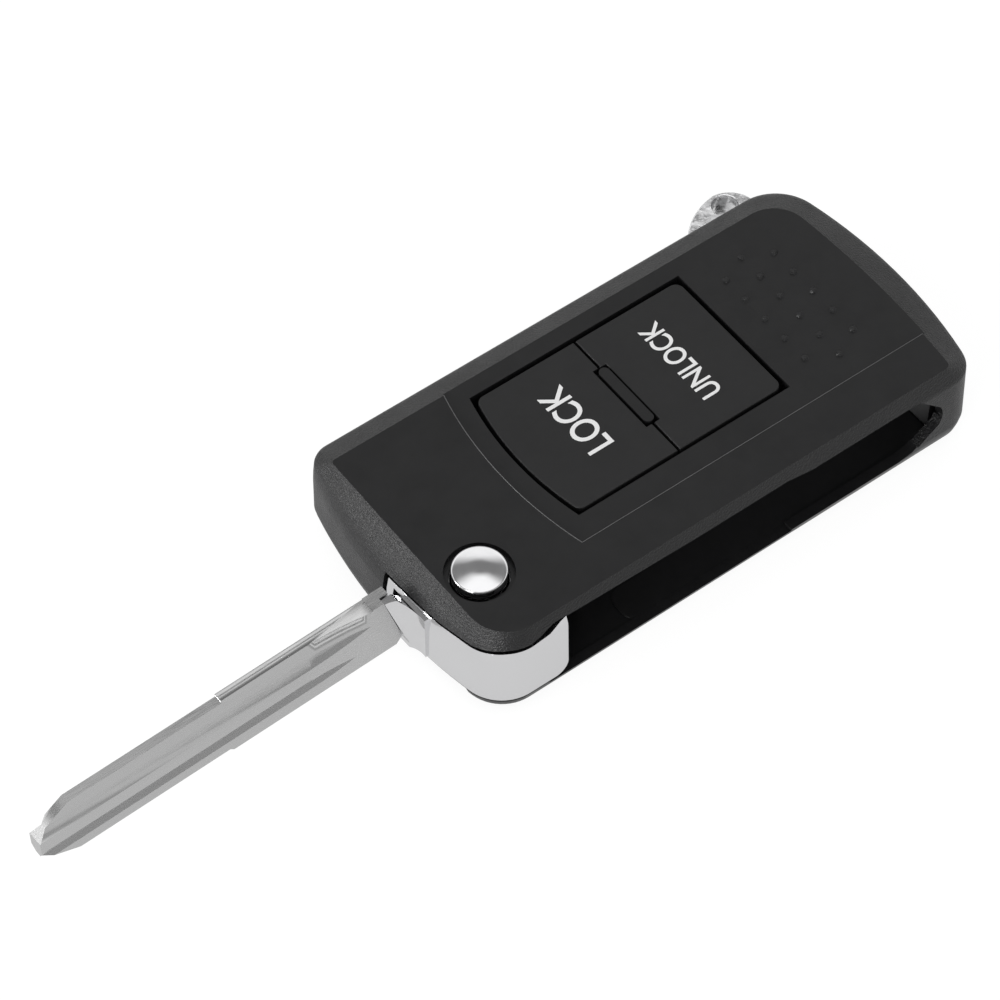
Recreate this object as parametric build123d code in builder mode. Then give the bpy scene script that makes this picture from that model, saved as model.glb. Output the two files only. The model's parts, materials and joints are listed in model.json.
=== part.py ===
import math
import os

from build123d import *

os.makedirs("parts", exist_ok=True)

# Millimetres. The origin is on the pivot axis, on the back face. The key ring end
# points to +X, the key ring lug to +Y and the keys face +Z.

# Stack from the back face to the top face
back_wall = 1.3
lip_rise = 0.75
blade_floor_gap = 0.35
blade_width = 9.4
blade_roof_gap = 1.0
top_wall = 1.2
shell_rise = 1.6
lip_height = back_wall + lip_rise
split_height = back_wall + shell_rise
blade_bottom = lip_height + blade_floor_gap
blade_top = blade_bottom + blade_width
ceiling = blade_top + blade_roof_gap
case_height = ceiling + top_wall
split_depth = case_height - split_height
mouth_over = 1.0
mouth_foot = split_height - mouth_over

# Outline of the top face, measured from the pivot axis
top_front = 4.5
top_left = 23.2
top_far = 63.0
top_right = 9.45
case_middle = 8.6

# How the sides swell out below the top face
shoulder_depth = 2.6
shoulder_blend = 0.8
blend_start = shoulder_depth - shoulder_blend / 2
blend_end = shoulder_depth + shoulder_blend / 2
left_bevel = 4.05
far_bevel = 3.3
right_bevel = 0.9
front_bevel_left = 0.75
front_bevel_right = 0.55
front_bow_top = 0.02
nose_bulge = 2.85
nose_mid_depth = 4.4
nose_depth = 6.0
wall_draft = 0.3
far_bow_top = 0.9
far_bow_gain = 1.8

# Corner radii of the top face and of the walls below the shoulder, in the order
# front left, front right, far right, far left
top_corners = (0.5, 5.0, 0.8, 4.5)
wall_corners = (3.0, 5.7, 4.3, 6.5)
least_corner = 0.3

# Walls and gaps
side_wall = 1.4
shoulder_wall = 1.9
roof_edge_wall = 2.3
nose_wall = 0.65
rib = 1.0
fit_gap = 0.1
moving_gap = 0.3
cut_over = 3.0
overlap = 0.1
wall_foot = back_wall + overlap

# How far a quarter arc of radius 1 lies inside its square corner
arc_inset = 1 - math.sqrt(0.5)

# Flip head pocket and its bearing
pocket_radius = 12.0
collar_bore = 4.2
collar_wall = 1.0
collar_drop = 1.3
collar_gap = 0.15
collar_roof_depth = 1.6
neck_play = 0.08
neck_radius = collar_bore - neck_play
dish_radius = 4.2
dish_depth = 0.8
cap_bore = 3.6

# Mouths of the head pocket and of the slot for the folded blade
rim_front_depth = 3.95
rim_middle_y = -1.0
rim_middle_depth = 3.6
rim_corner_depth = 2.35
rim_side_depth = 2.3
rim_side_x = 1.0
rim_side_far_depth = 2.1
rim_step_x = 3.1
rim_step_depth = 1.4
notch_y = 8.8
slot_start = 5.0
slot_roof_depth = 1.5
slot_roof_middle = 1.85
slot_roof_far = 2.3
slot_step_from = 37.5
slot_step_to = 41.2
slot_end = 61.7
slot_end_depth = 7.3
slot_end_half = 1.7
slot_end_round = 0.5
slot_floor_end = 55.4
slot_low_corner_x = 57.4
slot_low_corner_depth = 11.6
slot_high_corner_x = 57.8
slot_roof_middle_x = 24.0
slot_wall_y = -4.1
slot_wall_start = 8.0
slot_wall_end = 61.9
wall_step_x = 14.6
wall_step = 0.4
lip_step_front = 2.4
lip_step_back = 38.6
lip_step = 0.45
front_relief = 0.6
front_relief_y = -5.5
pad_start = 15.1
pad_wide = top_right + slot_wall_y - moving_gap
pad_rise = 0.25
pad_corner = 2.0

# Flip head
open_tilt = 1.7
drum_radius = 6.3
drum_gap = 0.3
drum_top_depth = 4.7
cone_radius = 5.2
cone_depth = 3.9
neck_top_depth = 1.65
head_inset = 0.05
head_rim_gap = 0.3
head_left = 8.1
head_back = 1.5
head_corner_gap = 0.5
wing_from_y = -3.0
wing_end = 4.95
wing_tip_depth = 1.5
wing_step_x = 2.4
wing_step_depth = 2.55
wing_rise_x = 4.1
wing_rise_depth = 1.75
wing_round = 1.9
nose_root = 5.0
nose_end = 11.0
nose_throat = 8.4
nose_throat_rise = 0.8
nose_flare = 7.4
nose_flare_rise = 3.6
nose_brow = 8.9
nose_top_gap = 0.15
nose_top = blade_top - nose_top_gap

# Key blade, in the plane of the blade
blade_near = -4.45
blade_thick = 2.15
blade_far = blade_near - blade_thick
block_end = 9.2
block_rise = 0.2
block_foot = 0.6
blade_start = 12.0
blade_step = 32.8
blade_narrow = 0.5
blade_tip = 58.4
tip_top_x = 53.7
tip_high_depth = 5.8
tip_low_depth = 8.8
tip_under_x = 53.5
block_heel = 8.9
strip_cut = 0.95
strip_floor_depth = 4.85
strip_edge_depth = 5.7
groove_cut = 0.5
groove_top_depth = 7.8
groove_floor_depth = 8.9
groove_low_depth = 9.5
cutter_radius = 38.0
cutter_stop = 20.9
cutter_turn = 25
tang_near = -5.4
tang_thick = 1.6
tang_inner = 1.2
tang_play = 0.15
tang_low_depth = 10.8
tang_wide = 4.6
tang_slot_depth = 11.1
tang_slot_wide = 6.2
tang_slot_long = 12.0
seam_top = 10.35
seam_low = 8.0
seam_low_depth = 10.5
seam_gap = 0.05
pin_along = 4.8
pin_height = 5.4
pin_radius = 0.8
pin_near = -3.9
pin_long = 4.2

# Keys and the panel round them
key_front = 14.05
key_far = 45.2
key_seam = 29.4
key_right = 0.27
key_left = 20.6
key_gap = 0.55
key_split = 0.15
key_arc = 0.65
key_corner = 1.2
key_edge = 0.12
key_high = 2.6
key_skin = 1.2
key_travel = 0.6
key_sink = 0.05
key_middle_x = (key_front + key_far) / 2
key_middle_y = (key_left + key_right) / 2
key_long = key_far - key_front
key_wide = key_left - key_right
panel_depth = 0.2
panel_front_side = 12.0
panel_front_apex = 10.25
panel_left = 23.6
panel_right = 3.7
panel_far = 72.0
frame_drop = 1.6
seam_bar = 1.4
seam_bar_high = 0.6
seam_post_wide = 9.8
seam_post_proud = 0.08
dot_pitch = 3.76
dot_radius = 0.5
dot_facets = 12
dot_taper = 30
dot_high = 0.33
dot_column_x = (49.95, 53.7, 57.4)
dot_first_y = (2.05, 0.03, 2.0)
dot_counts = (5, 6, 5)
flange_inset = 2.0
skirt_wall = 1.1
flange_reach = 0.5
flange_high = 0.5
key_bottom = case_height - panel_depth - key_sink - key_high
frame_bottom = ceiling - frame_drop
bar_clear_top = frame_bottom + seam_bar_high + key_travel + moving_gap
flange_top = frame_bottom - moving_gap
membrane_top = flange_top - flange_high - key_travel - moving_gap
membrane_thick = 0.7
membrane_front = 13.3
membrane_far = 47.0
dome_radius = 3.0
dome_high = 0.8
dome_taper = 25

# Release button, its spring and the boss under the flip head
cap_radius = 3.3
cap_edge = 0.3
cap_proud = 1.0
cap_thick = 0.8
cap_skirt_depth = 0.9
cap_spigot = 2.65
stem_radius = 3.2
stem_inner = 2.75
stem_roof_depth = 1.3
button_bore = 3.5
button_travel = 1.6
stem_rest = 0.5
boss_radius = 3.9
boss_play = 0.06
boss_rise = 1.4
boss_top = back_wall + boss_rise
spring_seat_rise = 0.3
spring_seat = back_wall + spring_seat_rise
spring_seat_radius = 3.0
spring_coil = 2.3
spring_wire = 0.28
spring_turns = 4
spring_facets = 5
lug_wide = 2.0
lug_reach = 4.9
lug_tall = 1.0
lug_below = 0.15
lug_slot_gap = 0.1
lug_top = ceiling - collar_drop - lug_below
button_bottom = boss_top + button_travel + stem_rest

# Case screw
screw_x = 57.0
screw_y = 8.0
screw_radius = 0.9
screw_post = 2.3
screw_seat_rise = 0.2
screw_seat = split_height + screw_seat_rise
screw_bite = 5.5
screw_long = 6.0
screw_head = 1.7
screw_head_high = 0.9
screw_recess = 0.15
screw_cross = 2.0
screw_cross_wide = 0.45
screw_cross_deep = 0.5

# Tongue that lines the two shells up
tongue_rise = 1.4
tongue_root = 0.6
tongue_thick = 0.8
tongue_start = 14.0
split_inset = 0.15
back_round = 2.0
back_steps = 3

# Key ring lug
ring_lug_depth = 8.5
ring_lug_bottom = case_height - ring_lug_depth
ring_lug_thick = 4.0
ring_lug_from = 53.4
ring_lug_to = 63.35
ring_lug_root = 25.3
ring_lug_seat = 0.6
ring_lug_hole = 1.7
ring_lug_hole_x = 59.85
ring_lug_hole_y = 29.35
ring_lug_tip = (59.65, 31.6)
ring_lug_near_y = 28.6
ring_lug_near_bend = (56.1, 30.6)
ring_lug_far_bend = (61.9, 30.7)
ring_lug_far_y = 28.0
ring_lug_neck_y = 26.4
flange_y = 23.7
flange_from = 52.6
flange_to = 61.2

tilt = math.radians(open_tilt)
along = Vector(-math.cos(tilt), -math.sin(tilt), 0)
across = Vector(math.sin(tilt), -math.cos(tilt), 0)
head_plane = Plane(origin=(0, 0, 0), x_dir=along, z_dir=(0, 0, 1))


def side_plane(offset):
    return Plane(origin=across * offset, x_dir=along, z_dir=across * -1)


def cross_plane(distance):
    return Plane(origin=along * distance, x_dir=across, z_dir=along)


def down(depth):
    return case_height - depth


def seam_at(height):
    share = (height - down(seam_low_depth)) / (blade_top - down(seam_low_depth))
    return seam_low + (seam_top - seam_low) * share


def shoulder_share(depth):
    # share of the bevel's reach at this depth, rounded where it meets the wall
    past = min(max(depth - blend_start, 0.0), shoulder_blend)
    return (min(depth, blend_start) + past - past ** 2 / (2 * shoulder_blend)) / shoulder_depth


def case_section(height, inset):
    depth = case_height - height
    shoulder = shoulder_share(depth)
    draft = wall_draft * depth / split_depth
    rise = math.sin(math.pi / 2 * min(depth / nose_depth, 1.0))
    reach = top_front + front_bow_top + nose_bulge * rise + draft - inset
    front_left = top_front + front_bevel_left * shoulder - inset
    front_right = top_front + front_bevel_right * shoulder - inset
    left = top_left + left_bevel * shoulder + draft - inset
    far = top_far + far_bevel * shoulder + draft - inset
    bow = far_bow_top + far_bow_gain * shoulder
    right = top_right + right_bevel * shoulder + draft - inset
    corners = ((-front_left, left), (-front_right, -right), (far, -right), (far, left))
    with BuildSketch(Plane.XY.offset(height)) as section:
        with BuildLine():
            ThreePointArc(corners[0], (-reach, case_middle), corners[1])
            Line(corners[1], corners[2])
            ThreePointArc(corners[2], (far + bow, case_middle), corners[3])
            Line(corners[3], corners[0])
        make_face()
        for corner, top_radius, wall_radius in zip(corners, top_corners, wall_corners):
            vertex = section.vertices().sort_by_distance((corner[0], corner[1], height))[0]
            radius = top_radius + (wall_radius - top_radius) * shoulder - inset
            fillet(vertex, max(radius, least_corner))
    return section.sketch


def split_section(inset):
    # section of the case at the split, laid on the ground plane
    return case_section(split_height, inset).moved(Location((0, 0, -split_height)))


outer_depths = (0.0, blend_start, shoulder_depth, blend_end, nose_mid_depth, nose_depth, split_depth)
inner_depths = (top_wall, shoulder_depth, nose_mid_depth, nose_depth, case_height - back_wall)

with BuildPart() as case_block:
    loft([case_section(down(depth), 0.0) for depth in outer_depths], ruled=True)

with BuildPart() as case_hollow:
    loft(
        [
            case_section(ceiling, roof_edge_wall),
            case_section(down(shoulder_depth), shoulder_wall),
            case_section(down(nose_mid_depth), side_wall),
            case_section(split_height - overlap, side_wall),
        ],
        ruled=True,
    )

with BuildPart() as head_pocket:
    loft(
        [case_section(down(depth), nose_wall) for depth in inner_depths],
        ruled=True,
    )
    with BuildSketch(Plane.XY):
        Circle(pocket_radius)
    extrude(amount=case_height, mode=Mode.INTERSECT)

with BuildPart() as pocket_wall:
    add(case_block.part)
    with BuildSketch(Plane.XY.offset(split_height)):
        Circle(pocket_radius + rib)
    extrude(amount=ceiling - split_height + overlap, mode=Mode.INTERSECT)
    # foot of the wall, down to the floor of the lower shell
    with BuildSketch(Plane.XY.offset(wall_foot)) as foot:
        add(split_section(side_wall + split_inset + fit_gap))
        Circle(pocket_radius + rib, mode=Mode.INTERSECT)
        with Locations((0, slot_wall_y + wall_step)):
            Rectangle(4 * pocket_radius, pocket_radius, align=(Align.CENTER, Align.MAX), mode=Mode.SUBTRACT)
    extrude(amount=split_height - wall_foot + overlap)


def slot_mouth():
    # outline of the mouth of the blade slot, seen from the right side
    with BuildSketch(Plane.XZ.offset(top_right + cut_over)) as mouth:
        with BuildLine():
            Polyline(
                (slot_floor_end, lip_height),
                (slot_low_corner_x, down(slot_low_corner_depth)),
                (slot_end - slot_end_round, down(slot_end_depth + slot_end_half)),
            )
            ThreePointArc(
                (slot_end - slot_end_round, down(slot_end_depth + slot_end_half)),
                (slot_end, down(slot_end_depth)),
                (slot_end - slot_end_round, down(slot_end_depth - slot_end_half)),
            )
            Polyline(
                (slot_end - slot_end_round, down(slot_end_depth - slot_end_half)),
                (slot_high_corner_x, down(slot_roof_far)),
                (slot_step_to, down(slot_roof_far)),
                (slot_step_from, down(slot_roof_middle)),
                (slot_roof_middle_x, down(slot_roof_middle)),
                (slot_start, down(slot_roof_depth)),
                (slot_start, lip_height),
                (slot_floor_end, lip_height),
            )
        make_face()
    return mouth.sketch


with BuildPart() as upper_shell:
    add(case_block.part)
    add(case_hollow.part, mode=Mode.SUBTRACT)
    add(pocket_wall.part)
    # wall between the blade slot and the bay behind the keys
    with BuildSketch(Plane.XY.offset(wall_foot)):
        with BuildLine():
            Polyline(
                (slot_wall_start, slot_wall_y + wall_step),
                (wall_step_x, slot_wall_y + wall_step),
                (wall_step_x, slot_wall_y),
                (slot_wall_end, slot_wall_y),
                (slot_wall_end, -top_right + side_wall),
                (slot_wall_end + rib, -top_right + side_wall),
                (slot_wall_end + rib, slot_wall_y + rib),
                (slot_wall_start, slot_wall_y + rib + wall_step),
                close=True,
            )
        make_face()
    extrude(amount=ceiling - wall_foot + overlap)
    add(head_pocket.part, mode=Mode.SUBTRACT)
    extrude(slot_mouth(), amount=-(top_right + cut_over + slot_wall_y), mode=Mode.SUBTRACT)
    # mouth for the flip head, along the front and round the right corner
    with BuildSketch(Plane.YZ.offset(-pocket_radius)):
        with BuildLine():
            Polyline(
                (notch_y, down(rim_front_depth)),
                (rim_middle_y, down(rim_middle_depth)),
                (-top_right, down(rim_corner_depth)),
                (-pocket_radius, down(rim_corner_depth)),
                (-pocket_radius, mouth_foot),
                (notch_y, mouth_foot),
                close=True,
            )
        make_face()
    extrude(amount=pocket_radius, mode=Mode.SUBTRACT)
    with BuildSketch(Plane.XZ.offset(top_right + cut_over)):
        with BuildLine():
            Polyline(
                (-overlap, down(rim_side_depth)),
                (rim_side_x, down(rim_side_far_depth)),
                (rim_step_x, down(rim_step_depth)),
                (slot_start + overlap, down(rim_step_depth)),
                (slot_start + overlap, mouth_foot),
                (-overlap, mouth_foot),
                close=True,
            )
        make_face()
    extrude(amount=-(top_right + cut_over + slot_wall_y), mode=Mode.SUBTRACT)
    # shallow panel round the keys
    with BuildSketch(Plane.XY.offset(case_height)):
        with BuildLine():
            ThreePointArc(
                (panel_front_side, panel_left),
                (panel_front_apex, (panel_left - panel_right) / 2),
                (panel_front_side, -panel_right),
            )
            Polyline(
                (panel_front_side, -panel_right),
                (panel_far, -panel_right),
                (panel_far, panel_left),
                (panel_front_side, panel_left),
            )
        make_face()
    extrude(amount=-panel_depth, mode=Mode.SUBTRACT)
    # guide frame under the keys
    with BuildSketch(Plane.XY.offset(frame_bottom)):
        with Locations((key_middle_x, key_middle_y)):
            Rectangle(key_long + 2 * (key_gap + rib), key_wide + 2 * (key_gap + rib))
    extrude(amount=frame_drop + overlap)
    with BuildSketch(Plane.XY.offset(membrane_top)):
        with Locations((key_middle_x, key_middle_y)):
            Rectangle(key_long + 2 * (key_gap + rib), key_wide - 2 * rib)
    extrude(amount=ceiling - membrane_top + overlap)
    with BuildSketch(Plane.XY.offset(membrane_top - overlap)):
        with BuildLine():
            ThreePointArc(
                (key_front - key_gap + key_arc, key_left + key_gap),
                (key_front - key_gap - key_arc, key_middle_y),
                (key_front - key_gap + key_arc, key_right - key_gap),
            )
            Polyline(
                (key_front - key_gap + key_arc, key_right - key_gap),
                (key_far + key_gap, key_right - key_gap),
                (key_far + key_gap, key_left + key_gap),
                (key_front - key_gap + key_arc, key_left + key_gap),
            )
        make_face()
    extrude(amount=case_height, mode=Mode.SUBTRACT)
    # bar across the frame, and the post that stands between the keys
    with BuildSketch(Plane.XY.offset(frame_bottom)):
        with Locations((key_seam, key_middle_y)):
            Rectangle(seam_bar, key_wide + 2 * key_gap + rib)
    extrude(amount=seam_bar_high)
    with BuildSketch(Plane.XY.offset(frame_bottom)):
        with Locations((key_seam, key_middle_y)):
            SlotOverall(seam_post_wide, seam_bar, rotation=90)
    extrude(amount=case_height - panel_depth + seam_post_proud - frame_bottom)
    # raised dots on the plain end of the panel
    with BuildSketch(Plane.XY.offset(case_height - panel_depth)):
        for column, first, count in zip(dot_column_x, dot_first_y, dot_counts):
            with Locations([(column, first + dot_pitch * step) for step in range(count)]):
                RegularPolygon(dot_radius, dot_facets)
    extrude(amount=dot_high, taper=dot_taper)
    # collar that carries the neck of the flip head, under a dish with the button's hole
    with BuildSketch(Plane.XY.offset(ceiling - collar_drop)):
        Circle(collar_bore + collar_wall)
    extrude(amount=collar_drop + overlap)
    with BuildSketch(Plane.XY.offset(ceiling - collar_drop)):
        Circle(collar_bore)
        Rectangle(lug_wide + 2 * moving_gap, 2 * (collar_bore + collar_wall) + 1)
    extrude(amount=down(collar_roof_depth) - ceiling + collar_drop, mode=Mode.SUBTRACT)
    with BuildSketch(Plane.XY.offset(ceiling - collar_drop)):
        Circle(cap_bore)
    extrude(amount=case_height, mode=Mode.SUBTRACT)
    with BuildSketch(Plane.XY.offset(down(dish_depth))):
        Circle(dish_radius)
    extrude(amount=case_height, mode=Mode.SUBTRACT)
    # post for the case screw
    with BuildSketch(Plane.XY.offset(screw_seat)):
        with Locations((screw_x, screw_y)):
            Circle(screw_post)
    extrude(amount=ceiling - screw_seat + overlap)
    with BuildSketch(Plane.XY.offset(screw_seat)):
        with Locations((screw_x, screw_y)):
            Circle(screw_radius)
    extrude(amount=screw_bite, mode=Mode.SUBTRACT)
    # slot in the left wall for the key ring lug
    with BuildSketch(Plane.XY.offset(ring_lug_bottom - fit_gap)):
        with Locations((ring_lug_from - fit_gap, ring_lug_root - ring_lug_seat)):
            Rectangle(ring_lug_to - ring_lug_from + 2 * fit_gap, 2 * cut_over, align=(Align.MIN, Align.MIN))
    extrude(amount=ring_lug_thick + 2 * fit_gap, mode=Mode.SUBTRACT)
upper_shell.part.label = "upper_shell"
export_step(upper_shell.part, "parts/upper_shell.step")

with BuildPart() as shell_tongue:
    loft(
        [
            case_section(split_height - tongue_root, side_wall + fit_gap),
            case_section(split_height + tongue_rise, side_wall + fit_gap),
        ],
        ruled=True,
    )
    loft(
        [
            case_section(split_height - tongue_root - overlap, side_wall + fit_gap + tongue_thick),
            case_section(split_height + tongue_rise + overlap, side_wall + fit_gap + tongue_thick),
        ],
        ruled=True,
        mode=Mode.SUBTRACT,
    )
    # only along the left side and the far end
    with BuildSketch(Plane.XY.offset(mouth_foot)):
        with Locations((slot_wall_end + rib + cut_over, -top_right)):
            Rectangle(top_far + top_left, 2 * (top_right + cut_over), align=(Align.MAX, Align.CENTER))
    extrude(amount=case_height, mode=Mode.SUBTRACT)
    with BuildSketch(Plane.XY.offset(mouth_foot)):
        with Locations((tongue_start, 0)):
            Rectangle(top_far, 3 * top_left, align=(Align.MAX, Align.CENTER))
    extrude(amount=case_height, mode=Mode.SUBTRACT)

with BuildPart() as lower_shell:
    # soft edge round the back, in steps along a quarter circle
    loft(
        [
            split_section(back_round * (1 - math.sin(angle)) + split_inset).moved(
                Location((0, 0, back_round * (1 - math.cos(angle))))
            )
            for angle in (math.pi / 2 * step / back_steps for step in range(back_steps + 1))
        ],
        ruled=True,
    )
    add(split_section(split_inset).moved(Location((0, 0, back_round))))
    extrude(amount=split_height - back_round)
    with BuildSketch(Plane.XY.offset(back_wall)):
        add(split_section(side_wall + split_inset))
    extrude(amount=shell_rise, mode=Mode.SUBTRACT)
    add(shell_tongue.part)
    # mouths for the flip head and for the folded blade
    with BuildSketch(Plane.XY.offset(lip_height)):
        with Locations((slot_start + mouth_over, notch_y)):
            Rectangle(2 * pocket_radius, 2 * pocket_radius, align=(Align.MAX, Align.MAX))
    extrude(amount=case_height, mode=Mode.SUBTRACT)
    extrude(slot_mouth(), amount=-(top_right + cut_over + slot_wall_y), mode=Mode.SUBTRACT)
    with BuildSketch(Plane.XY.offset(lip_height - lip_step)):
        with Locations((lip_step_front, slot_wall_y)):
            Rectangle(lip_step_back - lip_step_front, top_right, align=(Align.MIN, Align.MAX))
    extrude(amount=case_height, mode=Mode.SUBTRACT)
    # relief of the front edge under the flip head
    with BuildSketch(Plane.XY) as relief:
        with Locations((0, front_relief_y)):
            Rectangle(pocket_radius, notch_y - front_relief_y, align=(Align.MAX, Align.MIN))
        add(split_section(split_inset + front_relief), mode=Mode.SUBTRACT)
    extrude(amount=lip_height, mode=Mode.SUBTRACT)
    # floor pad under the folded blade
    with BuildSketch(Plane.XY.offset(back_wall - overlap)) as pad:
        with Locations((pad_start, slot_wall_y - moving_gap)):
            Rectangle(slot_end - pad_start, pad_wide, align=(Align.MIN, Align.MAX))
        fillet(pad.vertices().group_by(Axis.X)[0], pad_corner)
    extrude(amount=pad_rise + overlap)
    # clearance for the drum of the flip head
    with BuildSketch(Plane.XY.offset(back_wall)):
        Circle(drum_radius + moving_gap)
    extrude(amount=shell_rise, mode=Mode.SUBTRACT)
    # boss that the flip head turns on, with the seat of its spring
    with BuildSketch(Plane.XY.offset(back_wall - overlap)):
        Circle(boss_radius)
    extrude(amount=boss_rise + overlap)
    with BuildSketch(Plane.XY.offset(spring_seat)):
        Circle(spring_seat_radius)
    extrude(amount=boss_rise, mode=Mode.SUBTRACT)
    # seat for the screw post and the recessed hole for the screw
    with BuildSketch(Plane.XY.offset(back_wall - overlap)):
        with Locations((screw_x, screw_y)):
            Circle(screw_post)
    extrude(amount=screw_seat - back_wall + overlap)
    with BuildSketch(Plane.XY):
        with Locations((screw_x, screw_y)):
            Circle(screw_radius + fit_gap)
    extrude(amount=screw_seat + overlap, mode=Mode.SUBTRACT)
    with BuildSketch(Plane.XY):
        with Locations((screw_x, screw_y)):
            Circle(screw_head + fit_gap)
    extrude(amount=screw_head_high + screw_recess, mode=Mode.SUBTRACT)
lower_shell.part.label = "lower_shell"
export_step(lower_shell.part, "parts/lower_shell.step")


def key_cap(start, end, curved):
    top = key_bottom + key_high
    bow = key_arc if curved else 0.0
    outer = Axis.X if curved else Axis((0, 0, 0), (-1, 0, 0))
    with BuildPart() as cap:
        with BuildSketch(Plane.XY.offset(key_bottom)) as face:
            with BuildLine():
                if curved:
                    ThreePointArc(
                        (start + bow, key_left),
                        (start - bow, key_middle_y),
                        (start + bow, key_right),
                    )
                else:
                    Line((start, key_left), (start, key_right))
                Polyline(
                    (start + bow, key_right),
                    (end, key_right),
                    (end, key_left),
                    (start + bow, key_left),
                )
            make_face()
            fillet(face.vertices().group_by(outer)[0], key_corner)
        extrude(amount=key_high)
        chamfer(cap.faces().sort_by(Axis.Z)[-1].edges(), key_edge)
        # flange that holds the key under the frame
        with BuildSketch(Plane.XY.offset(flange_top - flange_high)):
            with Locations(((start + end) / 2, key_middle_y)):
                Rectangle(end - start - 2 * flange_inset, key_wide + 2 * (key_gap + flange_reach))
        extrude(amount=flange_high)
        with BuildSketch(Plane.XY.offset(flange_top - flange_high)):
            with Locations(((start + end) / 2, key_middle_y)):
                Rectangle(end - start - 2 * flange_inset, key_wide)
        extrude(amount=key_bottom - flange_top + flange_high + overlap)
        # hollow underside
        with BuildSketch(Plane.XY.offset(flange_top - flange_high)):
            with Locations(((start + end) / 2, key_middle_y)):
                Rectangle(end - start - 2 * (flange_inset + skirt_wall), key_wide - 2 * skirt_wall)
        extrude(amount=top - key_skin - flange_top + flange_high, mode=Mode.SUBTRACT)
        # clearance over the bar of the frame
        with BuildSketch(Plane.XY.offset(key_bottom)):
            with Locations((key_seam, key_middle_y)):
                Rectangle(seam_bar + 2 * moving_gap, key_wide + 2 * (key_gap + rib))
        extrude(amount=bar_clear_top - key_bottom, mode=Mode.SUBTRACT)
        # notch for the post between the keys
        with BuildSketch(Plane.XY.offset(flange_top - flange_high)):
            with Locations((key_seam, key_middle_y)):
                Rectangle(seam_bar + 2 * moving_gap, seam_post_wide + 2 * moving_gap)
        extrude(amount=case_height, mode=Mode.SUBTRACT)
    return cap.part


with BuildPart() as lock_button:
    add(key_cap(key_front, key_seam - key_split, True))
lock_button.part.label = "lock_button"
export_step(lock_button.part, "parts/lock_button.step")

with BuildPart() as unlock_button:
    add(key_cap(key_seam + key_split, key_far, False))
unlock_button.part.label = "unlock_button"
export_step(unlock_button.part, "parts/unlock_button.step")

with BuildPart() as button_membrane:
    with BuildSketch(Plane.XY.offset(membrane_top - membrane_thick)):
        with Locations(((membrane_front + membrane_far) / 2, key_middle_y)):
            Rectangle(membrane_far - membrane_front, key_wide + 2 * rib)
    extrude(amount=membrane_thick)
    for start, end in ((key_front, key_seam), (key_seam, key_far)):
        with BuildSketch(Plane.XY.offset(membrane_top - overlap)):
            with Locations(((start + end) / 2, key_middle_y)):
                Circle(dome_radius)
        extrude(amount=dome_high + overlap, taper=dome_taper)
button_membrane.part.label = "button_membrane"
export_step(button_membrane.part, "parts/button_membrane.step")

with BuildPart() as key_ring_lug:
    with BuildSketch(Plane.XY.offset(ring_lug_bottom)):
        with BuildLine():
            Line((ring_lug_from, ring_lug_root), (ring_lug_from, ring_lug_near_y))
            ThreePointArc((ring_lug_from, ring_lug_near_y), ring_lug_near_bend, ring_lug_tip)
            ThreePointArc(ring_lug_tip, ring_lug_far_bend, (ring_lug_to, ring_lug_far_y))
            Polyline(
                (ring_lug_to, ring_lug_far_y),
                (ring_lug_to, ring_lug_neck_y),
                (flange_to, ring_lug_root),
                (ring_lug_from, ring_lug_root),
            )
        make_face()
    extrude(amount=ring_lug_thick)
    with BuildSketch(Plane.XY.offset(ring_lug_bottom)):
        with Locations((flange_from, flange_y)):
            Rectangle(flange_to - flange_from, ring_lug_root - flange_y, align=(Align.MIN, Align.MIN))
    extrude(amount=ring_lug_thick)
    with BuildSketch(Plane.XY.offset(ring_lug_bottom)):
        with Locations((ring_lug_hole_x, ring_lug_hole_y)):
            Circle(ring_lug_hole)
    extrude(amount=ring_lug_thick, mode=Mode.SUBTRACT)
key_ring_lug.part.label = "key_ring_lug"
export_step(key_ring_lug.part, "parts/key_ring_lug.step")

# the nose carries the near side of the blade and flares into the head
with BuildPart() as head_nose:
    with BuildSketch(head_plane.offset(blade_bottom)):
        with BuildLine():
            Polyline(
                (nose_root, tang_near + tang_play),
                (nose_end, tang_near + tang_play),
                (nose_end, blade_near),
            )
            ThreePointArc(
                (nose_end, blade_near),
                (nose_throat, blade_near + nose_throat_rise),
                (nose_flare, blade_near + nose_flare_rise),
            )
            Polyline(
                (nose_flare, blade_near + nose_flare_rise),
                (nose_root, blade_near + nose_flare_rise),
                (nose_root, tang_near + tang_play),
            )
        make_face()
    extrude(amount=blade_width)
    with BuildSketch(side_plane(0)):
        with BuildLine():
            Polyline(
                (seam_at(nose_top), nose_top),
                (nose_brow, nose_top),
                (nose_flare, down(rim_front_depth + head_rim_gap)),
                (nose_root, down(rim_front_depth + head_rim_gap)),
                (nose_root, blade_bottom),
                (seam_low, blade_bottom),
                (seam_low, down(seam_low_depth)),
                close=True,
            )
        make_face()
    extrude(amount=pocket_radius, mode=Mode.INTERSECT)

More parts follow.
